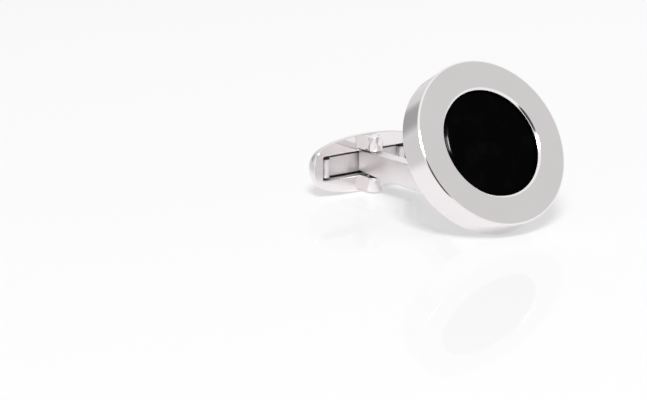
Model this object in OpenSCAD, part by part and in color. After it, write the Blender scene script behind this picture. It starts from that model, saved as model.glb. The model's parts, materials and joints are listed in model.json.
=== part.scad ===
// Round cufflink with an inlaid stone and a swivelling bar, lying on its side as it rests on a table.
// Millimetres. Z is up, X runs along the bar, the face of the head looks toward -Y and leans up.
// The bar is crosswise to the post, which is the worn position.

/* [Head] */
// Diameter of the round head
head_d = 18; // [14:0.5:24]
// Thickness of the head from face to back
head_t = 3.15; // [2.5:0.05:5]
// Bevel on the outer edges of the head
head_edge = 0.25; // [0.1:0.05:0.5]
// Lean of the head against the hinge end of the post, in degrees
head_lean = 31; // [20:1:40]

/* [Inlay] */
// Diameter of the recess in the face
recess_d = 11.4; // [8:0.1:13]
// Depth of the recess
recess_h = 2; // [1.5:0.1:2.4]
// Bevel round the mouth of the recess
recess_edge = 0.1; // [0.05:0.01:0.2]
// Thickness of the cement under the stone
cement_t = 0.2; // [0.1:0.05:0.4]
// Space round the cement, on the radius
cement_gap = 0.1; // [0.05:0.05:0.3]
// Space round the stone, on the radius
stone_gap = 0.05; // [0.02:0.01:0.1]
// Thickness of the stone
stone_t = 1.5; // [1:0.1:2]
// Width of the bevel round the top of the stone
stone_bevel_w = 0.45; // [0.2:0.05:0.8]
// Height of the bevel round the top of the stone
stone_bevel_h = 0.3; // [0.1:0.05:0.6]

/* [Post] */
// Diameter of the pad on the back of the head
pad_d = 8; // [6:0.5:12]
// Thickness of the pad
pad_t = 0.8; // [0.6:0.1:1.2]
// Depth of the round seat for the pad in the back of the head
pad_seat_h = 0.3; // [0.2:0.05:0.5]
// Bevel round the free side of the pad
pad_edge = 0.15; // [0.05:0.05:0.3]
// Diameter of the tenon that holds the post in the pad
tenon_d = 1.9; // [1.4:0.1:2.2]
// Level distance from the back of the head to the hinge pin
post_reach = 16.9; // [15:0.1:22]
// Height of the post, measured along the hinge pin
post_h = 2.5; // [2:0.1:2.6]
// Width of the post at the hinge
post_w = 1.6; // [1.4:0.1:2]
// Width of the post at the pad
post_foot_w = 3; // [2:0.1:4]
// Radius of the bend, to the middle of the post
bend_r = 5; // [3:0.5:6]
// Distance that the cam end of the post reaches past the pin
cam_reach = 2.05; // [1.9:0.05:2.1]
// Rounding of the corners of the cam end
cam_r = 0.6; // [0.3:0.05:0.75]

/* [Bar] */
// Length of the bar
bar_l = 14.6; // [14:0.2:20]
// Width of the bar at its middle
bar_w = 6.4; // [6:0.1:7]
// Depth of the bar at its middle, from front to back
bar_h = 3.1; // [3:0.1:3.6]
// Straight part of the bar's sides behind its front face
rim_h = 0.3; // [0.2:0.05:0.6]
// Radius of the long sides of the bar
bar_side_r = 20; // [18:1:40]
// Radius of the rounded noses, more than half the bar's width
bar_nose_r = 3.4; // [3.3:0.1:5]
// Width of the slot along the middle of the bar
slot_w = 2.7; // [2.6:0.1:2.9]
// Depth of the slot
slot_h = 1.5; // [1.5:0.02:1.6]
// Wall left between the slot and each nose
nose_wall = 1.2; // [1:0.1:2]
// Radius of the ears round the hinge pin
ear_r = 0.9; // [0.8:0.05:1.1]
// Set-back of the ear ends from the widest part of the bar
ear_inset = 0.2; // [0.1:0.05:0.5]

/* [Hinge pin and spring] */
// Diameter of the hinge pin
pin_d = 1; // [0.8:0.05:1.2]
// Thickness of the leaf spring
leaf_t = 0.25; // [0.15:0.05:0.25]
// Width of the leaf spring
leaf_w = 2.4; // [2:0.1:2.5]
// Space between the leaf spring and the cam
leaf_gap = 0.04; // [0.02:0.01:0.1]
// Outer radius of the rolled eye at each end of the spring
eye_r = 0.45; // [0.4:0.05:0.5]
// Diameter of the rivets through the eyes
rivet_d = 0.4; // [0.3:0.02:0.5]
// Space between each eye and the end of the slot
eye_gap = 0.55; // [0.3:0.05:0.8]

/* [Fits] */
// Running clearance of turning parts, on the radius
run_gap = 0.03; // [0.02:0.01:0.05]
// Clearance of parts that are riveted fast, on the radius
seat_gap = 0.02; // [0.01:0.01:0.04]
// Clearance between the post and the front of the folded bar
stop_gap = 0.1; // [0.05:0.01:0.15]

/* [Hidden] */
$fn = 96;
over = head_t / 3;
head_r = head_d / 2;
pin_r = pin_d / 2;
bar_x = bar_l / 2;
bar_z = bar_w / 2;
slot_z = slot_w / 2;
pin_z = bar_z;
back_z = head_r * cos(head_lean) - head_edge * sin(head_lean);
face_drop_y = head_t * cos(head_lean) + (head_r - head_edge) * sin(head_lean);
post_x = post_w / 2;
pin_off = post_x + stop_gap;
back_y = (face_drop_y - post_reach - pin_off - bar_h) / 2;
pin_y = back_y + post_reach;
pad_face = pad_t - pad_seat_h;
leg_l = (back_z - pin_z) / sin(head_lean);
bend_run = bend_r * tan(head_lean / 2);
bend_y = back_y + leg_l * cos(head_lean) + bend_run;
blade_y = pin_y - bar_x - ear_r / 2;
slot_x = bar_x - nose_wall;
round_h = bar_h - rim_h;
round_r = (pow(bar_z, 2) + pow(round_h, 2)) / (2 * round_h);
round_y = rim_h + round_h - round_r;
ear_z = bar_z - ear_inset;
leaf_y = cam_reach + leaf_gap - pin_off;
eye_x = slot_x - eye_gap - eye_r;
eye_y = leaf_y + leaf_t - eye_r;
rivet_r = rivet_d / 2;
silver = [0.80, 0.79, 0.79];
steel = [0.72, 0.72, 0.73];
black = [0.02, 0.02, 0.02];
cement = [0.35, 0.33, 0.30];

// Frame of the head: the origin is the middle of its back, and its face looks along the frame's Z.
module on_head() {
  translate([0, back_y, back_z]) rotate([90 - head_lean, 0, 0]) children();
}

// Frame of the hinge: the origin is on the pin at half its length.
module on_pin() {
  translate([0, pin_y, pin_z]) children();
}

// Frame of the bar: the origin is the middle of its front face, and Y runs deeper into it.
module on_bar() {
  on_pin() translate([0, pin_off, 0]) children();
}

// Round part turned from a half section, with its axis upright.
module turned(section) {
  rotate_extrude() polygon(section);
}

module head_case() {
  seat_r = pad_d / 2 + seat_gap;
  color(silver) on_head() turned([
    [0, pad_seat_h],
    [seat_r, pad_seat_h],
    [seat_r, 0],
    [head_r - head_edge, 0],
    [head_r, head_edge],
    [head_r, head_t - head_edge],
    [head_r - head_edge, head_t],
    [recess_d / 2 + recess_edge, head_t],
    [recess_d / 2, head_t - recess_edge],
    [recess_d / 2, head_t - recess_h],
    [0, head_t - recess_h]
  ]);
}

module inlay_cement() {
  color(cement) on_head() translate([0, 0, head_t - recess_h])
    cylinder(h = cement_t, r = recess_d / 2 - cement_gap);
}

module onyx_inlay() {
  stone_r = recess_d / 2 - stone_gap;
  color(black) on_head() translate([0, 0, head_t - recess_h + cement_t]) turned([
    [0, 0],
    [stone_r, 0],
    [stone_r, stone_t - stone_bevel_h],
    [stone_r - stone_bevel_w, stone_t],
    [0, stone_t]
  ]);
}

module post_pad() {
  bore_r = tenon_d / 2 + seat_gap;
  color(silver) on_head() turned([
    [bore_r, pad_seat_h],
    [pad_d / 2, pad_seat_h],
    [pad_d / 2, pad_edge - pad_face],
    [pad_d / 2 - pad_edge, -pad_face],
    [bore_r, -pad_face]
  ]);
}

// Wedge between the two ends of the bend, as seen from the side, with its point at the bend's centre.
module bend_wedge(reach) {
  polygon([
    [0, 0],
    reach * [-sin(head_lean), -cos(head_lean)],
    reach / cos(head_lean / 2) * [-sin(head_lean / 2), -cos(head_lean / 2)],
    reach * [0, -1]
  ]);
}

// Side view of the bent post: two straight legs with their corner rounded outside and filled inside.
module post_side() {
  corner = post_h / 2 * tan(head_lean / 2);
  difference() {
    union() {
      translate([back_y, back_z]) rotate(-head_lean)
        translate([pad_face, -post_h / 2]) square([leg_l + corner - pad_face, post_h]);
      translate([bend_y - bend_run - corner, pin_z - post_h / 2])
        square([pin_y + cam_reach - bend_y + bend_run + corner, post_h]);
      translate([bend_y, pin_z + bend_r]) difference() {
        bend_wedge(bend_r);
        circle(r = bend_r - post_h / 2);
      }
    }
    translate([bend_y, pin_z + bend_r]) difference() {
      bend_wedge(bend_r + post_h / 2 + over);
      circle(r = bend_r + post_h / 2);
    }
  }
}

// Plan of the post: it narrows from the foot to an even blade, and the cam end has round corners.
module post_plan() {
  polygon([
    [-post_foot_w / 2, back_y - over],
    [post_foot_w / 2, back_y - over],
    [post_foot_w / 2, back_y + over],
    [post_x, blade_y],
    [post_x, pin_y + cam_reach - cam_r],
    [post_x - cam_r, pin_y + cam_reach - cam_r],
    [post_x - cam_r, pin_y + cam_reach],
    [cam_r - post_x, pin_y + cam_reach],
    [cam_r - post_x, pin_y + cam_reach - cam_r],
    [-post_x, pin_y + cam_reach - cam_r],
    [-post_x, blade_y],
    [-post_foot_w / 2, back_y + over]
  ]);
  for (side = [-1, 1]) translate([side * (post_x - cam_r), pin_y + cam_reach - cam_r]) circle(r = cam_r);
}

module post() {
  color(silver) {
    difference() {
      intersection() {
        translate([-post_foot_w / 2, 0, 0]) rotate([90, 0, 90]) linear_extrude(height = post_foot_w) post_side();
        linear_extrude(height = back_z + head_r) post_plan();
      }
      on_pin() cylinder(h = bar_w, r = pin_r + run_gap, center = true);
    }
    on_head() translate([0, 0, -pad_face - over]) cylinder(h = pad_t + over, r = tenon_d / 2);
  }
}

module hinge_pin() {
  color(steel) on_pin() cylinder(h = 2 * ear_z, r = pin_r, center = true);
}

// Boat-shaped outline with its length along X and a given half width at its middle.
module boat(half) {
  intersection() {
    long_side(half, 1);
    long_side(half, -1);
    bar_ends();
  }
}

// Large circle whose rim is one long side of the boat.
module long_side(half, side) {
  translate([0, side * (half - bar_side_r)]) circle(r = bar_side_r, $fn = 3 * $fn);
}

// Long shape with round ends, wider than the bar, that rounds off its noses.
module bar_ends() {
  square(2 * [bar_x - bar_nose_r, bar_nose_r], center = true);
  for (end = [-1, 1]) translate([end * (bar_x - bar_nose_r), 0]) circle(r = bar_nose_r);
}

// Spindle along X whose surface is the rounded back of the bar.
module spindle() {
  rotate([0, 90, 0]) rotate_extrude() intersection() {
    rotate(90) boat(round_r);
    translate([0, -bar_x]) square([bar_nose_r, bar_l]);
  }
}

module bar_blank() {
  intersection() {
    rotate([-90, 0, 0]) linear_extrude(height = bar_h + over) boat(bar_z);
    translate([0, round_y, 0]) spindle();
  }
}

// Ear that carries one end of the hinge pin in front of the bar.
module ear() {
  translate([0, -pin_off, slot_z]) linear_extrude(height = ear_z - slot_z) {
    circle(r = ear_r);
    translate([-ear_r, 0]) square([2 * ear_r, pin_off + rim_h]);
  }
}

// Cross bore or cross pin through each eye of the spring.
module eye_pins(radius) {
  for (end = [-1, 1]) translate([end * eye_x, eye_y, 0]) cylinder(h = bar_w + over, r = radius, center = true);
}

module toggle_body() {
  color(silver) on_bar() difference() {
    union() {
      bar_blank();
      ear();
      mirror([0, 0, 1]) ear();
    }
    translate([-slot_x, -over, -slot_z]) cube([2 * slot_x, over + slot_h, slot_w]);
    translate([0, -pin_off, 0]) cylinder(h = bar_w + over, r = pin_r + seat_gap, center = true);
    eye_pins(rivet_r + seat_gap);
  }
}

module leaf_spring() {
  color(steel) on_bar() difference() {
    union() {
      translate([-eye_x, leaf_y, -leaf_w / 2]) cube([2 * eye_x, leaf_t, leaf_w]);
      for (end = [-1, 1]) translate([end * eye_x, eye_y, 0]) cylinder(h = leaf_w, r = eye_r, center = true);
    }
    eye_pins(rivet_r + seat_gap);
  }
}

// The two rivets of the spring, with their ends dressed flush with the bar.
module spring_rivet() {
  color(steel) on_bar() intersection() {
    eye_pins(rivet_r);
    bar_blank();
  }
}

head_case();
inlay_cement();
onyx_inlay();
post_pad();
post();
hinge_pin();
toggle_body();
leaf_spring();
spring_rivet();
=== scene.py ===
"""Round cufflink with a polished head, a black stone inlay, a bent post and a swivelling bar."""

import json
import math

import bmesh
import bpy
from mathutils import Matrix, Vector


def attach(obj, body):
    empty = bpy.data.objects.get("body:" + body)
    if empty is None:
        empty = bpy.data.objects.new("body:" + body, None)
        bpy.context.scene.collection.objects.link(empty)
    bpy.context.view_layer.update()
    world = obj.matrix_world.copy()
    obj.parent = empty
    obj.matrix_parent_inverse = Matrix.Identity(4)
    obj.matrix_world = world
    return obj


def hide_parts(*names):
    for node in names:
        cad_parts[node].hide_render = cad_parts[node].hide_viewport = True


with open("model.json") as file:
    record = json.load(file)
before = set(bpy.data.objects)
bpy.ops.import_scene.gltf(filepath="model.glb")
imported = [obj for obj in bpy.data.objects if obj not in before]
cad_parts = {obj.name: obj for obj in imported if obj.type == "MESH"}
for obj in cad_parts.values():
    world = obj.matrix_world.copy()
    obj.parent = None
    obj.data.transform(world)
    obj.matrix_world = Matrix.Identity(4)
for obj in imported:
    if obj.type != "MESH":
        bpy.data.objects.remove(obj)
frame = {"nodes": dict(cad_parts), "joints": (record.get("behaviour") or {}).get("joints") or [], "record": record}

bl_info = {
    "name": "Cufflink",
    "version": (1, 0, 0),
    "blender": (4, 5, 0),
    "location": "View3D > Sidebar > Cufflink",
    "description": "Dresses the packed cufflink: head, stone, post, swivel bar, spring and stage",
    "category": "Add Mesh",
}

MM = 0.001
# An edge whose middle is this close to a face or a side counts as on it.
NEAR = 0.01 * MM
# Corners closer than this are joined.
MERGE = 0.0005 * MM
# Corners this close to a cutting plane lie on it.
ON_PLANE = 0.0001 * MM
# Edges that turn more than this stay sharp in the shading.
CREASE = math.radians(40)
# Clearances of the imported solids: stone in its recess, pad and tenon in their seats, post on its pin.
STONE_GAP = 0.05 * MM
SEAT_GAP = 0.02 * MM
PIN_GAP = 0.03 * MM
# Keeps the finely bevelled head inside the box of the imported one.
RIM_INSET = 0.06 * MM

# Steps round the turned shapes and the rods, and along the bar, the post and the spring's eyes.
TURN_STEPS = 256
ROD_STEPS = 64
RIVET_STEPS = 32
BAR_STEPS = 128
BAR_STATIONS = 120
BEND_STEPS = 16
LEG_STEPS = 6
EYE_STEPS = 40

# Where soft patterns start and end within their range.
HAZE_BAND = (0.3, 0.7)
HAIR_BAND = (0.55, 0.8)
CLOUD_BAND = (0.45, 0.75)
BLOTCH_BAND = (0.3, 0.8)
GRAIN_BAND = (0.35, 0.7)

WHITE = (1.0, 1.0, 1.0, 1.0)
ROOM_GREY = (0.5, 0.5, 0.5, 1.0)
DUSK_GREY = (0.7, 0.7, 0.7, 1.0)
# Soft cards round the stage, for mirrored light alone: direction, cosines of edge and core, grey.
CARDS = (
    ((0.582, -0.581, 0.568), 0.6, 0.9, 0.7),
    ((-0.15, 0.98, 0.12), 0.55, 0.95, 0.72),
    ((-0.15, 0.98, 0.12), 0.96, 0.998, 0.4),
    ((-0.37, -0.85, 0.36), 0.94, 0.975, 0.08),
)
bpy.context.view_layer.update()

MOUNTS = {mount["name"]: mount for mount in frame["record"]["mounts"]}
HINGE = Vector(frame["joints"][0]["pos_m"])
SEAT = Vector(MOUNTS["cuff_seat"]["pos_m"])
SEAT_AXIS = Vector(MOUNTS["cuff_seat"]["axis"])
LEAN = math.atan2(-SEAT_AXIS.z, SEAT_AXIS.y)

# Frame of the head: origin in the middle of its back, Z out of its face.
HEAD = Matrix.Translation((0, SEAT.y, SEAT.z)) @ Matrix.Rotation(math.pi / 2 - LEAN, 4, "X")
# Frame of the bar: origin in the middle of its front face, X along it and Y deeper into it.
BAR = Matrix.Translation((0, MOUNTS["bar_seat"]["pos_m"][1], HINGE.z))


def span(node, place):
    """Lowest and highest corners of a CAD node, measured along the axes of a frame."""
    back = place.inverted()
    points = [back @ vertex.co for vertex in frame["nodes"][node].data.vertices]
    low = Vector([min(p[i] for p in points) for i in range(3)])
    high = Vector([max(p[i] for p in points) for i in range(3)])
    return low, high


HEAD_HIGH = span("head_case", HEAD)[1]
STONE_LOW, STONE_HIGH = span("onyx_inlay", HEAD)
PAD_LOW, PAD_HIGH = span("post_pad", HEAD)
POST_LOW, POST_HIGH = span("post", BAR)
BAR_LOW, BAR_HIGH = span("toggle_body", BAR)
LEAF_HIGH = span("leaf_spring", BAR)[1]
RIVET_LOW, RIVET_HIGH = span("spring_rivet", BAR)
PIN_HIGH = span("hinge_pin", BAR)[1]
RIVET_R = (RIVET_HIGH.y - RIVET_LOW.y) / 2
RIVET_X = RIVET_HIGH.x - RIVET_R
RIVET_Y = RIVET_HIGH.y - RIVET_R


def length(name, description, default):
    """A length in metres that a user may change."""
    return bpy.props.FloatProperty(
        name=name, description=description, default=default, min=0, unit="LENGTH", precision=6
    )


def share(name, description, default):
    """A plain number from nought to one."""
    return bpy.props.FloatProperty(name=name, description=description, default=default, min=0, max=1)


def number(name, description, default):
    """A plain number above nought."""
    return bpy.props.FloatProperty(name=name, description=description, default=default, min=0)


def angle(name, description, degrees):
    """An angle, given in degrees."""
    return bpy.props.FloatProperty(
        name=name, description=description, default=math.radians(degrees), unit="ROTATION"
    )


def colour(name, description, default):
    """A linear colour."""
    return bpy.props.FloatVectorProperty(
        name=name, description=description, default=default, size=3, min=0, max=1, subtype="COLOR"
    )


class CufflinkHead(bpy.types.PropertyGroup):
    """Sizes of the head, its stone and its pad."""

    radius: length("Head radius", "Radius of the polished head", HEAD_HIGH.x - RIM_INSET)
    thickness: length("Head thickness", "From the back of the head to its face", HEAD_HIGH.z)
    edge: length("Edge round", "Rounding of the back edge", 0.25 * MM)
    rim_width: length("Rim width", "Width of the bevel round the face", 0.2 * MM)
    rim_height: length("Rim height", "Height of the bevel round the face", 0.13 * MM)
    recess_radius: length("Recess radius", "Radius of the stone's recess", STONE_HIGH.x + STONE_GAP)
    recess_depth: length("Recess depth", "Depth of the recess", 2 * MM)
    lip_width: length("Lip width", "Width of the bevel round the recess", 0.28 * MM)
    lip_height: length("Lip height", "Height of the bevel round the recess", 0.175 * MM)
    lip_edge: length("Lip edge", "Rounding of the bevel's edges", 0.06 * MM)
    stone_bevel_width: length("Stone bevel width", "Width of the stone's bevel", 0.45 * MM)
    stone_bevel_height: length("Stone bevel height", "Height of the stone's bevel", 0.3 * MM)
    stone_edge: length("Stone edge", "Rounding of the edges of the stone's bevel", 0.05 * MM)
    pad_edge: length("Pad edge", "Rounding of the free side of the pad", 0.2 * MM)


class CufflinkPost(bpy.types.PropertyGroup):
    """Sizes of the post."""

    foot_width: length("Foot width", "Width of the post at the pad", POST_HIGH.x - POST_LOW.x)
    blade_width: length("Blade width", "Width of the post at the hinge", 1.6 * MM)
    height: length("Height", "Height of the post along the hinge pin", 2.5 * MM)
    heel_reach: length("Heel reach", "From the hinge pin to where the underside rises", 1.5 * MM)
    heel_rise: length("Heel rise", "How far the underside rises at the end of the post", 0.3 * MM)
    bend_radius: length("Bend radius", "Radius of the bend, to the middle of the post", 5 * MM)
    cam_round: length("Cam round", "Rounding of the corners of the cam end", 0.6 * MM)
    tenon_radius: length("Tenon radius", "Radius of the tenon in the pad", 0.95 * MM)
    edge: length("Edge round", "Rounding of the long edges", 0.06 * MM)


class CufflinkBar(bpy.types.PropertyGroup):
    """Sizes of the bar, its spring and its pins."""

    side_radius: length("Side radius", "Radius of the long sides", 20 * MM)
    nose_radius: length("Nose radius", "Radius of the noses", 3.4 * MM)
    shoulder: length("Shoulder", "How softly the sides run into the noses", 0.7 * MM)
    rim: length("Rim", "Straight part of the sides behind the front face", 0.3 * MM)
    edge: length("Edge round", "Rounding of the front face's outer edge", 0.26 * MM)
    nose_wall: length("Nose wall", "Wall between the slot and each nose", 1.2 * MM)
    slot_width: length("Slot width", "Width of the slot", 2.7 * MM)
    slot_depth: length("Slot depth", "Depth of the slot", 1.5 * MM)
    slot_corner: length("Slot corner", "Rounding of the slot's corners", 0.25 * MM)
    slot_edge: length("Slot edge", "Rounding of the slot's mouth", 0.07 * MM)
    ear_radius: length("Ear radius", "Radius of the ears round the hinge pin", 0.9 * MM)
    ear_edge: length("Ear edge", "Rounding of the ears' edges", 0.14 * MM)
    ear_step: length("Ear step", "From the rounded mouth of the slot to the ears", 0.03 * MM)
    leaf_thickness: length("Leaf thickness", "Thickness of the leaf spring", 0.2 * MM)
    leaf_edge: length("Leaf edge", "Rounding of the leaf spring's edges", 0.03 * MM)
    eye_radius: length("Eye radius", "Outer radius of the spring's rolled eyes", 0.45 * MM)
    eye_turn: angle("Eye turn", "How far the spring's eyes are rolled round", 305)
    pin_round: length("Pin round", "Rounding of the hinge pin's ends", 0.14 * MM)
    rivet_round: length("Rivet round", "Rounding of the rivets' ends", 0.05 * MM)
    run_gap: length("Running gap", "Clearance of pins in their bores", 0.02 * MM)


class CufflinkFinish(bpy.types.PropertyGroup):
    """Colours and glosses."""

    silver: colour("Silver", "Colour of the polished plating", (0.885, 0.852, 0.858))
    silver_gloss: share("Silver roughness", "Roughness of the polished plating", 0.07)
    post_gloss: share("Post roughness", "Roughness of the plating on the post", 0.42)
    stone: colour("Stone", "Colour of the stone", (0.0016, 0.0016, 0.0018))
    stone_gloss: share("Stone roughness", "Least roughness of the stone", 0.03)
    steel: colour("Steel", "Colour of the spring and the pins", (0.92, 0.895, 0.9))
    steel_gloss: share("Steel roughness", "Least roughness of the spring and the pins", 0.45)
    # Colour of painted shade, deep in the slot and along the spring's upper edge.
    painted_shade: colour("Painted_shade", "Colour of the darkened slot and strip edges", (0.06, 0.05, 0.05))
    slot_gloss: share("Slot roughness", "Least roughness of the slot", 0.25)
    cement: colour("Cement", "Colour of the cement bed", (0.12, 0.11, 0.10))
    cement_gloss: share("Cement roughness", "Least roughness of the cement bed", 0.55)
    floor: colour("Floor", "Colour of the floor", (0.97, 0.97, 0.97))
    floor_gloss: share("Floor roughness", "Least roughness of the floor", 0.02)


class CufflinkStage(bpy.types.PropertyGroup):
    """The floor, the camera and the lamp."""

    floor_size: length("Floor size", "From the middle of the floor to its sides", 3.0)
    lens: number("Lens", "Focal length of the camera in millimetres", 188.3)
    sensor: number("Sensor", "Width of the camera's sensor in millimetres", 36)
    nearest: length("Nearest", "Where the camera starts to see", 10 * MM)
    camera_left: length("Camera left", "From the head's face to the camera, leftwards", 214.67 * MM)
    camera_front: length("Camera front", "From the head's face to the camera, forwards", 257.02 * MM)
    camera_height: length("Camera height", "From the floor to the camera", 88.37 * MM)
    camera_tilt: angle("Camera tilt", "How far the camera looks down", 14.3)
    camera_turn: angle("Camera turn", "How far the camera is turned to the right", 36.93)
    lamp_size: length("Lamp size", "Width of the round lamp", 0.65)
    lamp_power: number("Lamp power", "Power of the lamp in watts", 28.5)
    lamp_left: length("Lamp left", "From the middle of the floor to the lamp, leftwards", 0.84)
    lamp_front: length("Lamp front", "From the middle of the floor to the lamp, forwards", 1.12)
    lamp_height: length("Lamp height", "From the floor to the lamp", 1.46)


class Shade:
    """A value in a node tree that can be used in an expression."""

    def __init__(self, nodes, socket):
        self.nodes = nodes
        self.socket = socket

    def maths(self, operation, *values):
        """A Math node of some values."""
        return self.nodes.add("ShaderNodeMath", dict(enumerate(values)), operation=operation)

    def __add__(self, other):
        return self.maths("ADD", self, other)

    def __radd__(self, other):
        return self.maths("ADD", other, self)

    def __sub__(self, other):
        return self.maths("SUBTRACT", self, other)

    def __rsub__(self, other):
        return self.maths("SUBTRACT", other, self)

    def __mul__(self, other):
        return self.maths("MULTIPLY", self, other)

    def __rmul__(self, other):
        return self.maths("MULTIPLY", other, self)

    def __abs__(self):
        return self.maths("ABSOLUTE", self)

    def ease(self, start, end):
        """Nought on the side of start, one on the side of end and a soft step between them."""
        inputs = {"Value": self, "From Min": start, "From Max": end}
        return self.nodes.add(
            "ShaderNodeMapRange", inputs, output="Result", interpolation_type="SMOOTHSTEP"
        )


class Nodes:
    """Adds nodes to a material or a world."""

    def __init__(self, owner):
        owner.use_nodes = True
        self.tree = owner.node_tree
        self.tree.nodes.clear()

    def add(self, kind, inputs=None, output=0, **settings):
        """Adds a node: its settings come first, then its inputs. Returns one of its outputs."""
        node = self.tree.nodes.new(kind)
        for name, value in settings.items():
            setattr(node, name, value)
        for name, value in (inputs or {}).items():
            if isinstance(value, Shade):
                self.tree.links.new(value.socket, node.inputs[name])
            else:
                node.inputs[name].default_value = value
        return Shade(self, node.outputs[output]) if node.outputs else node

    def place(self, scale=(1, 1, 1), turn=(0, 0, 0)):
        """Object coordinates, stretched and turned."""
        where = self.add("ShaderNodeTexCoord", output="Object")
        return self.add("ShaderNodeMapping", {"Vector": where, "Scale": scale, "Rotation": turn})

    def within(self, place):
        """Object coordinates measured in a frame, in metres."""
        where = self.add("ShaderNodeTexCoord", output="Object")
        inputs = {"Vector": where, "Location": place.translation, "Rotation": place.to_euler()}
        return self.add("ShaderNodeMapping", inputs, vector_type="TEXTURE")

    def along(self, vector, axis):
        """One coordinate of a vector."""
        return self.add("ShaderNodeSeparateXYZ", {0: vector}, output=axis)

    def toward(self, vector, way):
        """How far a vector reaches along a direction."""
        return self.add(
            "ShaderNodeVectorMath", {0: vector, 1: way}, output="Value", operation="DOT_PRODUCT"
        )

    def from_axis(self, vector):
        """Distance of a vector's end from the Z axis."""
        flat = self.add("ShaderNodeVectorMath", {0: vector, 1: (1, 1, 0)}, operation="MULTIPLY")
        return self.add("ShaderNodeVectorMath", {0: flat}, output="Value", operation="LENGTH")

    def noise(self, vector, scale, detail, roughness=0.5):
        """Soft noise from nought to one."""
        inputs = {"Vector": vector, "Scale": scale, "Detail": detail, "Roughness": roughness}
        return self.add("ShaderNodeTexNoise", inputs)

    def mix(self, factor, first, second):
        """A blend of two colours."""
        return self.add("ShaderNodeMix", {0: factor, 6: first, 7: second}, output=2, data_type="RGBA")

    def bump(self, pattern, strength, height):
        """Bumps of a pattern and a height, as a normal."""
        inputs = {"Strength": strength, "Distance": height, "Height": pattern}
        return self.add("ShaderNodeBump", inputs)

    def cover(self, inputs):
        """Covers the piece with one shader."""
        shader = self.add("ShaderNodeBsdfPrincipled", inputs)
        self.add("ShaderNodeOutputMaterial", {"Surface": shader})


def rgba(rgb, factor=1.0):
    """A linear colour, made darker or lighter by a factor, with full alpha."""
    return (*(channel * factor for channel in rgb), 1.0)


def finish_of(build):
    """The material that a function makes, built when it is first asked for."""
    name = build.__name__ + "_finish"
    material = bpy.data.materials.get(name)
    if material is None:
        material = bpy.data.materials.new(name)
        build(Nodes(material), bpy.context.scene.cufflink_finish)
    return material


def plated_silver(nodes, finish, roughness):
    """Plating of a roughness, with faint buffing haze and hairlines."""
    haze_swing = 0.6
    hair_gloss = 0.02
    dim = 0.985
    haze = nodes.noise(nodes.place(), scale=260.0, detail=4.0)
    combed = nodes.place(scale=(900, 900, 9000), turn=(0.4, 0.3, 0.9))
    hairs = nodes.noise(combed, scale=1.0, detail=3.0, roughness=0.6)
    gloss = roughness * (1 - haze_swing / 2 + haze_swing * haze) + hair_gloss * hairs.ease(*HAIR_BAND)
    tint = nodes.mix(haze.ease(*HAZE_BAND), rgba(finish.silver, dim), rgba(finish.silver))
    bump = nodes.bump(hairs, strength=0.05, height=0.004 * MM)
    nodes.cover({"Base Color": tint, "Metallic": 1.0, "Roughness": gloss, "Normal": bump})


def polished_silver(nodes, finish):
    """Mirror polish of the head and the bar."""
    plated_silver(nodes, finish, finish.silver_gloss)


def buffed_silver(nodes, finish):
    """Softer polish of the post."""
    plated_silver(nodes, finish, finish.post_gloss)


def black_onyx(nodes, finish):
    """Deep black stone with a trace of cloud and a brighter polish along one side of its bevel."""
    cloud_lift = 1.8
    glint_way = (-0.985, 0.17, 0.0)
    glint_from = 4.9 * MM
    glint_full = 5.4 * MM
    bevel_polish = 0.1
    cloud = nodes.noise(nodes.place(), scale=420.0, detail=5.0, roughness=0.6)
    tint = nodes.mix(cloud.ease(*CLOUD_BAND), rgba(finish.stone), rgba(finish.stone, cloud_lift))
    local = nodes.within(HEAD)
    radius = nodes.from_axis(local)
    crease = STONE_HIGH.x - bpy.context.scene.cufflink_head.stone_bevel_width
    edge_from = crease - 0.09 * MM
    edge_full = crease - 0.05 * MM
    bevel_from = crease + 0.05 * MM
    bevel_full = crease + 0.12 * MM
    side = nodes.toward(local, glint_way).ease(glint_from, glint_full)
    edge = side * radius.ease(edge_from, edge_full)
    bevel = radius.ease(bevel_from, bevel_full)
    nodes.cover({
        "Base Color": tint,
        "Roughness": finish.stone_gloss + finish.stone_gloss * cloud,
        "Specular IOR Level": 0.0,
        "Coat Weight": edge * (1 - (1 - bevel_polish) * bevel),
        "Coat Roughness": 0.12,
    })


def spring_steel(nodes, finish):
    """Rolled spring steel with lines along the strip, and shade painted in a band along its upper edge."""
    line_gloss = 0.2
    dim = 0.9
    shift = 0.2 * MM
    edge_shade_from = 0.96 * MM
    edge_shade_full = 1.06 * MM
    edge_shade_end = 1.45 * MM
    edge_shade_gone = 1.5 * MM
    lines = nodes.noise(nodes.place(scale=(120, 900, 14000)), scale=1.0, detail=4.0, roughness=0.6)
    blotch = nodes.noise(nodes.place(), scale=700.0, detail=3.0)
    # Painted shade: a band along the strip's upper edge, and a faint one at its lower edge, takes the shade
    # colour; the pins and rivets get it too at the same heights.
    height = abs(nodes.along(nodes.within(BAR), "Z") + shift)
    edge_shade = height.ease(edge_shade_from, edge_shade_full) * height.ease(edge_shade_gone, edge_shade_end)
    unshaded_steel = nodes.mix(blotch.ease(*BLOTCH_BAND), rgba(finish.steel), rgba(finish.steel, dim))
    nodes.cover({
        "Base Color": nodes.mix(edge_shade, unshaded_steel, rgba(finish.painted_shade)),
        "Metallic": 1.0,
        "Roughness": finish.steel_gloss + line_gloss * lines,
        "Normal": nodes.bump(lines, strength=0.15, height=0.006 * MM),
    })


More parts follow.
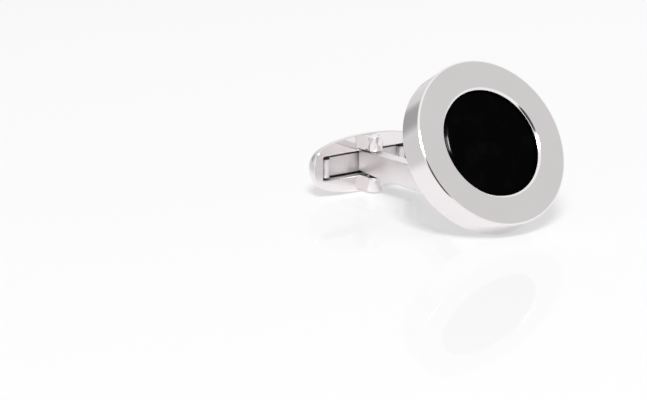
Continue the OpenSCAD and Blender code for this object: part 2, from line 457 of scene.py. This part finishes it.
def slot_with_painted_shade(nodes, finish):
    """Unpolished silver, dimmed, with shade painted on it towards the bottom of the slot."""
    grain_gloss = 0.2
    dim = 0.8
    ragged = 0.2 * MM
    dark_from = 0.9 * MM
    dark_full = 1.1 * MM
    # Painted shade: deeper than about a millimetre the slot takes the shade colour, with a ragged edge.
    depth = nodes.along(nodes.within(BAR), "Y")
    grain = nodes.noise(nodes.place(), scale=3000.0, detail=4.0, roughness=0.6)
    dark = (depth + ragged * grain).ease(dark_from, dark_full)
    nodes.cover({
        "Base Color": nodes.mix(dark, rgba(finish.silver, dim), rgba(finish.painted_shade)),
        "Metallic": 1.0,
        "Roughness": finish.slot_gloss + grain_gloss * grain,
    })


def set_cement(nodes, finish):
    """Dull set resin with grains."""
    grain_gloss = 0.25
    dark_grain = 0.7
    light_grain = 1.3
    grain = nodes.noise(nodes.place(), scale=5200.0, detail=5.0, roughness=0.7)
    nodes.cover({
        "Base Color": nodes.mix(
            grain.ease(*GRAIN_BAND), rgba(finish.cement, dark_grain), rgba(finish.cement, light_grain)
        ),
        "Roughness": finish.cement_gloss + grain_gloss * grain,
        "Normal": nodes.bump(grain, strength=0.4, height=0.02 * MM),
    })


def white_acrylic(nodes, finish):
    """Glossy white sheet that mirrors the piece faintly, and greys behind it in mirrored light."""
    haze_gloss = 0.03
    glow_share = 0.4
    dusk_way = (-0.75, 0.66, 0.0)
    dusk_from = 16 * MM
    dusk_full = 30 * MM
    haze = nodes.noise(nodes.place(), scale=60.0, detail=3.0)
    gloss = finish.floor_gloss + haze_gloss * haze
    inputs = {"Base Color": rgba(finish.floor), "Roughness": gloss, "IOR": 1.12}
    sheet = nodes.add("ShaderNodeBsdfPrincipled", inputs)
    glow = nodes.add("ShaderNodeEmission", {"Color": WHITE, "Strength": 1.0})
    dusk = nodes.add("ShaderNodeEmission", {"Color": DUSK_GREY, "Strength": 1.0})
    seen = nodes.add("ShaderNodeLightPath", output="Is Camera Ray")
    glossy = nodes.add("ShaderNodeLightPath", output="Is Glossy Ray")
    near = nodes.add("ShaderNodeMixShader", {0: glow_share * (seen + glossy), 1: sheet, 2: glow})
    where = nodes.add("ShaderNodeTexCoord", output="Object")
    far = glossy * nodes.toward(where, dusk_way).ease(dusk_from, dusk_full)
    surface = nodes.add("ShaderNodeMixShader", {0: far, 1: near, 2: dusk})
    nodes.add("ShaderNodeOutputMaterial", {"Surface": surface})


def tidy(bm):
    """Merges doubles, drops what has no area and turns all faces outwards."""
    bmesh.ops.remove_doubles(bm, verts=bm.verts, dist=MERGE)
    bmesh.ops.dissolve_degenerate(bm, edges=bm.edges, dist=MERGE)
    bmesh.ops.recalc_face_normals(bm, faces=bm.faces)


def everything(bm):
    """All corners, edges and faces of a mesh."""
    return bm.verts[:] + bm.edges[:] + bm.faces[:]


def corners_of(made):
    """The corners among what an operator made."""
    return [part for part in made if isinstance(part, bmesh.types.BMVert)]


def face_of(made):
    """The first face among what an operator made."""
    return next(part for part in made if isinstance(part, bmesh.types.BMFace))


def draw_out(bm, face, way, steps=1):
    """Extrudes a face along a way in equal steps and returns the last face."""
    for _ in range(steps):
        made = bmesh.ops.extrude_face_region(bm, geom=[face])["geom"]
        bmesh.ops.translate(bm, vec=way / steps, verts=corners_of(made))
        face = face_of(made)
    return face


def turned(profile):
    """Solid of revolution about Z from a half section of radius and height."""
    bm = bmesh.new()
    line = [bm.verts.new((radius, 0, height)) for radius, height in profile]
    edges = [bm.edges.new(pair) for pair in zip(line, line[1:])]
    hollow = profile[0][0] > 0
    if hollow:
        edges.append(bm.edges.new((line[-1], line[0])))
    bmesh.ops.spin(
        bm, geom=line + edges, cent=(0, 0, 0), axis=(0, 0, 1), angle=2 * math.pi,
        steps=TURN_STEPS, use_merge=True, use_duplicate=False,
    )
    tidy(bm)
    return bm


def round_edges(bm, width, segments, where=None, sharper=25):
    """Rounds the edges sharper than some degrees whose middle passes a test."""
    edges = []
    for edge in bm.edges:
        if len(edge.link_faces) != 2 or edge.calc_face_angle(0) < math.radians(sharper):
            continue
        middle = (edge.verts[0].co + edge.verts[1].co) / 2
        if where is None or where(middle):
            edges.append(edge)
    bmesh.ops.bevel(
        bm, geom=edges, offset=width, offset_type="OFFSET", segments=segments, profile=0.5,
        affect="EDGES", material=-1, clamp_overlap=True,
    )


def block(low, high):
    """Box between two corners."""
    low = Vector(low)
    high = Vector(high)
    bm = bmesh.new()
    bmesh.ops.create_cube(bm, size=1)
    bmesh.ops.scale(bm, vec=high - low, verts=bm.verts)
    bmesh.ops.translate(bm, vec=(low + high) / 2, verts=bm.verts)
    return bm


def rod(radius, depth, centre, segments=ROD_STEPS):
    """Round rod along Z about a centre."""
    bm = bmesh.new()
    bmesh.ops.create_cone(
        bm, cap_ends=True, segments=segments, radius1=radius, radius2=radius, depth=depth,
        matrix=Matrix.Translation(centre),
    )
    return bm


def combine(bm, tool, operation):
    """Joins a second solid to the first, or cuts it away. Both are used up and a new one is returned."""
    solids = []
    for name, part in (("solid", bm), ("tool", tool)):
        mesh = bpy.data.meshes.new(name)
        part.to_mesh(mesh)
        part.free()
        solid = bpy.data.objects.new(name, mesh)
        bpy.context.scene.collection.objects.link(solid)
        solids.append(solid)
    cut = solids[0].modifiers.new("Cut", "BOOLEAN")
    cut.object = solids[1]
    cut.operation = operation
    cut.solver = "EXACT"
    made = solids[0].evaluated_get(bpy.context.evaluated_depsgraph_get())
    result = bmesh.new()
    result.from_mesh(made.to_mesh())
    made.to_mesh_clear()
    for solid in solids:
        mesh = solid.data
        bpy.data.objects.remove(solid)
        bpy.data.meshes.remove(mesh)
    if not result.faces:
        raise RuntimeError(f"the {operation.lower()} left nothing")
    tidy(result)
    return result


def piece(bm, name, place, body, build, nodes):
    """Finishes a mesh in its place: body and material, and hides the CAD nodes that it stands for."""
    bmesh.ops.transform(bm, matrix=place, verts=bm.verts)
    tidy(bm)
    mesh = bpy.data.meshes.new(name)
    bm.to_mesh(mesh)
    bm.free()
    mesh.shade_smooth()
    mesh.set_sharp_from_angle(angle=CREASE)
    mesh.materials.append(finish_of(build))
    made = bpy.data.objects.new(name, mesh)
    bpy.context.scene.collection.objects.link(made)
    weigh = made.modifiers.new("Weighted normals", "WEIGHTED_NORMAL")
    weigh.keep_sharp = True
    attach(made, body)
    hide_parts(*nodes)
    return made


class CUFFLINK_OT_head(bpy.types.Operator):
    """Turn the round head with its recess and rounded edges."""

    bl_idname = "cufflink.head"
    bl_label = "Head"

    def execute(self, context):
        sizes = context.scene.cufflink_head
        seat_depth = PAD_HIGH.z
        seat_radius = PAD_HIGH.x + SEAT_GAP
        floor = sizes.thickness - sizes.recess_depth
        bm = turned([
            (0, seat_depth),
            (seat_radius, seat_depth),
            (seat_radius, 0),
            (sizes.radius, 0),
            (sizes.radius, sizes.thickness - sizes.rim_height),
            (sizes.radius - sizes.rim_width, sizes.thickness),
            (sizes.recess_radius + sizes.lip_width, sizes.thickness),
            (sizes.recess_radius, sizes.thickness - sizes.lip_height),
            (sizes.recess_radius, floor),
            (0, floor),
        ])
        outside = sizes.radius - NEAR
        round_edges(
            bm, sizes.edge, segments=6,
            where=lambda middle: middle.xy.length > outside and middle.z < NEAR,
        )
        round_edges(bm, sizes.lip_edge, segments=4, where=lambda middle: middle.z > floor + NEAR)
        piece(bm, "head_shell", HEAD, "head", polished_silver, ["head_case"])
        return {"FINISHED"}


class CUFFLINK_OT_stone(bpy.types.Operator):
    """Cut the black stone with its polished bevel."""

    bl_idname = "cufflink.stone"
    bl_label = "Stone"

    def execute(self, context):
        sizes = context.scene.cufflink_head
        radius = STONE_HIGH.x
        top = STONE_HIGH.z
        bm = turned([
            (0, STONE_LOW.z),
            (radius, STONE_LOW.z),
            (radius, top - sizes.stone_bevel_height),
            (radius - sizes.stone_bevel_width, top),
            (0, top),
        ])
        round_edges(
            bm, sizes.stone_edge, segments=3,
            where=lambda middle: middle.z > STONE_LOW.z + NEAR, sharper=10,
        )
        piece(bm, "stone_disc", HEAD, "head", black_onyx, ["onyx_inlay"])
        return {"FINISHED"}


class CUFFLINK_OT_cement(bpy.types.Operator):
    """Give the cement bed under the stone its finish."""

    bl_idname = "cufflink.cement"
    bl_label = "Cement bed"

    def execute(self, context):
        mesh = frame["nodes"]["inlay_cement"].data
        mesh.materials.clear()
        mesh.materials.append(finish_of(set_cement))
        return {"FINISHED"}


class CUFFLINK_OT_pad(bpy.types.Operator):
    """Turn the pad on the back of the head."""

    bl_idname = "cufflink.pad"
    bl_label = "Pad"

    def execute(self, context):
        sizes = context.scene.cufflink_head
        bore = context.scene.cufflink_post.tenon_radius + SEAT_GAP
        bm = turned([
            (bore, PAD_HIGH.z),
            (PAD_HIGH.x, PAD_HIGH.z),
            (PAD_HIGH.x, PAD_LOW.z),
            (bore, PAD_LOW.z),
        ])
        outside = PAD_HIGH.x - NEAR
        free_side = PAD_LOW.z + NEAR
        round_edges(
            bm, sizes.pad_edge, segments=5,
            where=lambda middle: middle.z < free_side and middle.xy.length > outside,
        )
        piece(bm, "pad_disc", HEAD, "head", polished_silver, ["post_pad"])
        return {"FINISHED"}


class CUFFLINK_OT_post(bpy.types.Operator):
    """Draw out, bend and taper the post, round its edges and bore it for the hinge pin."""

    bl_idname = "cufflink.post"
    bl_label = "Post"

    def execute(self, context):
        sizes = context.scene.cufflink_post
        half_w = sizes.blade_width / 2
        half_h = sizes.height / 2
        end_y = BAR.translation.y + POST_HIGH.y
        leg = (SEAT.z - HINGE.z) / math.sin(LEAN)
        bend_y = SEAT.y + leg * math.cos(LEAN) + sizes.bend_radius * math.tan(LEAN / 2)
        blade_y = HINGE.y + BAR_LOW.x
        heel_y = HINGE.y - sizes.heel_reach
        toe = sizes.heel_rise - half_h
        bm = bmesh.new()
        ring = [
            bm.verts.new((x * half_w, end_y, HINGE.z + z))
            for x, z in ((-1, toe), (1, toe), (1, half_h), (-1, half_h))
        ]
        face = draw_out(bm, bm.faces.new(ring), Vector((0, heel_y - end_y, 0)))
        for vertex in face.verts:
            if vertex.co.z < HINGE.z:
                vertex.co.z = HINGE.z - half_h
        face = draw_out(bm, face, Vector((0, blade_y - heel_y, 0)))
        face = draw_out(bm, face, Vector((0, bend_y - blade_y, 0)), LEG_STEPS)
        made = bmesh.ops.spin(
            bm, geom=[face], cent=(0, bend_y, HINGE.z + sizes.bend_radius), axis=(1, 0, 0),
            angle=-LEAN, steps=BEND_STEPS, use_duplicate=False,
        )["geom_last"]
        face = face_of(made)
        foot = HEAD @ Vector((0, 0, PAD_LOW.z))
        draw_out(bm, face, foot - face.calc_center_median(), BEND_STEPS)
        for vertex in bm.verts:
            along = (blade_y - vertex.co.y) / (blade_y - SEAT.y)
            if along > 0:
                along = min(along, 1)
                swell = along * along * (3 - 2 * along)
                wide = sizes.blade_width + swell * (sizes.foot_width - sizes.blade_width)
                vertex.co.x *= wide / sizes.blade_width
        tidy(bm)
        round_edges(
            bm, sizes.cam_round, segments=10,
            where=lambda middle: middle.y > end_y - NEAR and abs(middle.x) > half_w - NEAR,
        )
        from_head = HEAD.inverted()
        round_edges(
            bm, sizes.edge, segments=4,
            where=lambda middle: (from_head @ middle).z < PAD_LOW.z - NEAR,
        )
        through = 3 * sizes.height
        bm = combine(bm, rod(PIN_HIGH.x + PIN_GAP, through, HINGE), "DIFFERENCE")
        # The tenon starts well inside the post.
        sunk = 2 * PAD_LOW.z
        tenon = rod(sizes.tenon_radius, PAD_HIGH.z - sunk, (0, 0, (PAD_HIGH.z + sunk) / 2))
        bmesh.ops.transform(tenon, matrix=HEAD, verts=tenon.verts)
        bm = combine(bm, tenon, "UNION")
        piece(bm, "post_arm", Matrix.Identity(4), "head", buffed_silver, ["post"])
        return {"FINISHED"}


def bar_blank(sizes):
    """The boat-like body of the bar, before slot and bores: a straight rim in front of a round back."""
    half_l = BAR_HIGH.x
    half_w = BAR_HIGH.z
    round_h = BAR_HIGH.y - sizes.rim
    axis_y = sizes.rim + round_h - (half_w ** 2 + round_h ** 2) / (2 * round_h)
    offset = sizes.rim - axis_y

    def half_width(x):
        """Half the width of the bar at a place along it, where a side runs softly into a nose."""
        side = math.sqrt(sizes.side_radius ** 2 - x ** 2) - (sizes.side_radius - half_w)
        past = max(abs(x) - (half_l - sizes.nose_radius), 0)
        nose = math.sqrt(max(sizes.nose_radius ** 2 - past ** 2, 0))
        near = max(sizes.shoulder - abs(side - nose), 0)
        return min(side, nose) - near ** 2 / (4 * sizes.shoulder)

    bm = bmesh.new()
    line = []
    for station in range(BAR_STATIONS + 1):
        x = -half_l * math.cos(math.pi * station / BAR_STATIONS)
        radius = math.hypot(half_width(x), offset) if 0 < station < BAR_STATIONS else 0
        line.append(bm.verts.new((x, axis_y, radius)))
    edges = [bm.edges.new(pair) for pair in zip(line, line[1:])]
    bmesh.ops.spin(
        bm, geom=line + edges, cent=(0, axis_y, 0), axis=(1, 0, 0), angle=2 * math.pi,
        steps=BAR_STEPS, use_merge=True, use_duplicate=False,
    )
    tidy(bm)
    bmesh.ops.bisect_plane(
        bm, geom=everything(bm), plane_co=(0, sizes.rim, 0), plane_no=(0, 1, 0),
        clear_inner=True, dist=ON_PLANE,
    )
    rim = [edge for edge in bm.edges if edge.is_boundary]
    made = bmesh.ops.extrude_edge_only(bm, edges=rim)["geom"]
    bmesh.ops.translate(bm, vec=(0, -sizes.rim, 0), verts=corners_of(made))
    bmesh.ops.contextual_create(bm, geom=[edge for edge in bm.edges if edge.is_boundary])
    tidy(bm)
    round_edges(bm, sizes.edge, segments=5, where=lambda middle: middle.y < NEAR, sharper=45)
    return bm


class CUFFLINK_OT_bar(bpy.types.Operator):
    """Shape the boat-like bar: spindle back, straight rim, slot, ears and bores."""

    bl_idname = "cufflink.bar"
    bl_label = "Bar"

    def execute(self, context):
        sizes = context.scene.cufflink_bar
        bm = bar_blank(sizes)
        slot_x = BAR_HIGH.x - sizes.nose_wall
        slot_z = sizes.slot_width / 2
        slot = block((-slot_x, -BAR_HIGH.y, -slot_z), (slot_x, sizes.slot_depth, slot_z))
        round_edges(
            slot, sizes.slot_corner, segments=6,
            where=lambda middle: abs(middle.x) > slot_x - NEAR and abs(middle.z) > slot_z - NEAR,
        )
        bm = combine(bm, slot, "DIFFERENCE")

        def over_slot(point):
            """Whether a point lies in the slot's outline, seen from the front."""
            return abs(point.x) < slot_x + NEAR and abs(point.z) < slot_z + NEAR

        round_edges(
            bm, sizes.slot_edge, segments=3,
            where=lambda middle: middle.y < NEAR and over_slot(middle), sharper=45,
        )
        ear_z = PIN_HIGH.z
        pin_y = (BAR.inverted() @ HINGE).y
        front = pin_y - sizes.ear_radius
        outside = sizes.ear_radius - NEAR
        inner = slot_z + sizes.slot_edge + sizes.ear_step
        nearly_all = 0.999
        for side in (-1, 1):
            ear = block(
                (-sizes.ear_radius, front, min(side * inner, side * ear_z)),
                (sizes.ear_radius, sizes.rim, max(side * inner, side * ear_z)),
            )
            round_edges(
                ear, nearly_all * sizes.ear_radius, segments=14,
                where=lambda middle: middle.y < front + NEAR and abs(middle.x) > outside,
            )
            round_edges(ear, sizes.ear_edge, segments=3, where=lambda middle: middle.y < sizes.rim / 2)
            bm = combine(bm, ear, "UNION")
        through = 4 * ear_z
        bm = combine(bm, rod(PIN_HIGH.x + sizes.run_gap, through, (0, pin_y, 0)), "DIFFERENCE")
        for end in (-1, 1):
            place = (end * RIVET_X, RIVET_Y, 0)
            bm = combine(bm, rod(RIVET_R + sizes.run_gap, through, place, RIVET_STEPS), "DIFFERENCE")
        # Faces inside the slot take the second material, with its painted shade.
        for side in bm.faces:
            middle = side.calc_center_median()
            if 2 * sizes.slot_edge < middle.y < sizes.slot_depth + NEAR and over_slot(middle):
                side.material_index = 1
        made = piece(bm, "bar_body", BAR, "bar", polished_silver, ["toggle_body"])
        made.data.materials.append(finish_of(slot_with_painted_shade))
        return {"FINISHED"}


class CUFFLINK_OT_spring(bpy.types.Operator):
    """Roll the leaf spring with an eye at each end."""

    bl_idname = "cufflink.spring"
    bl_label = "Leaf spring"

    def execute(self, context):
        sizes = context.scene.cufflink_bar
        half_w = LEAF_HIGH.z
        thick = sizes.leaf_thickness
        back = LEAF_HIGH.y
        eye_x = LEAF_HIGH.x - sizes.eye_radius
        eye_y = back - sizes.eye_radius
        bm = bmesh.new()
        ring = [
            bm.verts.new((0, y, z))
            for y, z in ((back - thick, -half_w), (back, -half_w), (back, half_w), (back - thick, half_w))
        ]
        face = draw_out(bm, bm.faces.new(ring), Vector((eye_x, 0, 0)))
        bmesh.ops.spin(
            bm, geom=[face], cent=(eye_x, eye_y, 0), axis=(0, 0, 1), angle=-sizes.eye_turn,
            steps=EYE_STEPS, use_duplicate=False,
        )
        inside = [side for side in bm.faces if all(abs(corner.co.x) < ON_PLANE for corner in side.verts)]
        bmesh.ops.delete(bm, geom=inside, context="FACES_ONLY")
        bmesh.ops.mirror(bm, geom=everything(bm), axis="X", merge_dist=2 * MERGE)
        tidy(bm)
        round_edges(bm, sizes.leaf_edge, segments=2, sharper=60)
        piece(bm, "leaf_strip", BAR, "bar", spring_steel, ["leaf_spring"])
        return {"FINISHED"}


class CUFFLINK_OT_pins(bpy.types.Operator):
    """Set the hinge pin and the two spring rivets with rounded ends."""

    bl_idname = "cufflink.pins"
    bl_label = "Pins"

    def execute(self, context):
        sizes = context.scene.cufflink_bar
        pin_y = (BAR.inverted() @ HINGE).y
        bm = rod(PIN_HIGH.x, 2 * PIN_HIGH.z, (0, pin_y, 0))
        round_edges(bm, sizes.pin_round, segments=4, sharper=60)
        piece(bm, "hinge_pin_rod", BAR, "bar", spring_steel, ["hinge_pin"])
        bm = rod(RIVET_R, 2 * RIVET_HIGH.z, (RIVET_X, RIVET_Y, 0), RIVET_STEPS)
        round_edges(bm, sizes.rivet_round, segments=3, sharper=60)
        copy = bmesh.ops.duplicate(bm, geom=everything(bm))["geom"]
        bmesh.ops.translate(bm, vec=(-2 * RIVET_X, 0, 0), verts=corners_of(copy))
        bm = combine(bm, bar_blank(sizes), "INTERSECT")
        piece(bm, "rivet_pair", BAR, "bar", spring_steel, ["spring_rivet"])
        return {"FINISHED"}


class CUFFLINK_OT_stage(bpy.types.Operator):
    """Lay the floor, light it softly and set the camera."""

    bl_idname = "cufflink.stage"
    bl_label = "Stage"

    def execute(self, context):
        scene = context.scene
        sizes = scene.cufflink_stage
        scene.view_settings.view_transform = "Standard"
        bm = bmesh.new()
        bmesh.ops.create_grid(bm, x_segments=1, y_segments=1, size=sizes.floor_size)
        mesh = bpy.data.meshes.new("floor")
        bm.to_mesh(mesh)
        bm.free()
        mesh.materials.append(finish_of(white_acrylic))
        floor = bpy.data.objects.new("floor", mesh)
        scene.collection.objects.link(floor)

        face = HEAD @ Vector((0, 0, HEAD_HIGH.z))
        camera_data = bpy.data.cameras.new("camera")
        camera_data.lens = sizes.lens
        camera_data.sensor_width = sizes.sensor
        camera_data.sensor_fit = "HORIZONTAL"
        camera_data.clip_start = sizes.nearest
        camera = bpy.data.objects.new("camera", camera_data)
        camera.location = (face.x - sizes.camera_left, face.y - sizes.camera_front, sizes.camera_height)
        camera.rotation_euler = (math.pi / 2 - sizes.camera_tilt, 0, -sizes.camera_turn)
        scene.collection.objects.link(camera)
        scene.camera = camera

        lamp_data = bpy.data.lights.new("soft_box", "AREA")
        lamp_data.shape = "DISK"
        lamp_data.size = sizes.lamp_size
        lamp_data.energy = sizes.lamp_power
        lamp = bpy.data.objects.new("soft_box", lamp_data)
        lamp.location = (-sizes.lamp_left, -sizes.lamp_front, sizes.lamp_height)
        lamp.rotation_euler = (-lamp.location).to_track_quat("-Z", "Y").to_euler()
        scene.collection.objects.link(lamp)

        world = bpy.data.worlds.new("studio")
        scene.world = world
        nodes = Nodes(world)
        where = nodes.add("ShaderNodeTexCoord", output="Generated")
        mirrored = WHITE
        for way, start, end, grey in CARDS:
            facing = nodes.toward(where, Vector(way).normalized())
            mirrored = nodes.mix(facing.ease(start, end), mirrored, rgba((grey, grey, grey)))
        seen = nodes.add("ShaderNodeLightPath", output="Is Camera Ray")
        glossy = nodes.add("ShaderNodeLightPath", output="Is Glossy Ray")
        plain = nodes.mix(glossy, ROOM_GREY, mirrored)
        tint = nodes.mix(seen, plain, WHITE)
        back = nodes.add("ShaderNodeBackground", {"Color": tint, "Strength": 1.0})
        nodes.add("ShaderNodeOutputWorld", {"Surface": back})
        return {"FINISHED"}


OPERATORS = (
    CUFFLINK_OT_head,
    CUFFLINK_OT_stone,
    CUFFLINK_OT_cement,
    CUFFLINK_OT_pad,
    CUFFLINK_OT_post,
    CUFFLINK_OT_bar,
    CUFFLINK_OT_spring,
    CUFFLINK_OT_pins,
    CUFFLINK_OT_stage,
)
GROUPS = {
    "cufflink_head": CufflinkHead,
    "cufflink_post": CufflinkPost,
    "cufflink_bar": CufflinkBar,
    "cufflink_finish": CufflinkFinish,
    "cufflink_stage": CufflinkStage,
}


class CUFFLINK_PT_panel(bpy.types.Panel):
    """Lists the steps of the cufflink and its sizes."""

    bl_idname = "CUFFLINK_PT_panel"
    bl_label = "Cufflink"
    bl_space_type = "VIEW_3D"
    bl_region_type = "UI"
    bl_category = "Cufflink"

    def draw(self, context):
        for operator in OPERATORS:
            self.layout.operator(operator.bl_idname)
        for name, group in GROUPS.items():
            for size in group.__annotations__:
                self.layout.prop(getattr(context.scene, name), size)


def register():
    """Registers the classes and hangs the settings on the scene."""
    for kind in (*GROUPS.values(), *OPERATORS, CUFFLINK_PT_panel):
        bpy.utils.register_class(kind)
    for name, group in GROUPS.items():
        setattr(bpy.types.Scene, name, bpy.props.PointerProperty(type=group))


def unregister():
    """Takes the settings and the classes away again."""
    for name in GROUPS:
        delattr(bpy.types.Scene, name)
    for kind in reversed((*GROUPS.values(), *OPERATORS, CUFFLINK_PT_panel)):
        bpy.utils.unregister_class(kind)


def main():
    """Makes every piece and the stage."""
    register()
    for step in ("head", "stone", "cement", "pad", "post", "bar", "spring", "pins", "stage"):
        getattr(bpy.ops.cufflink, step)()


if __name__ == "__main__":
    main()
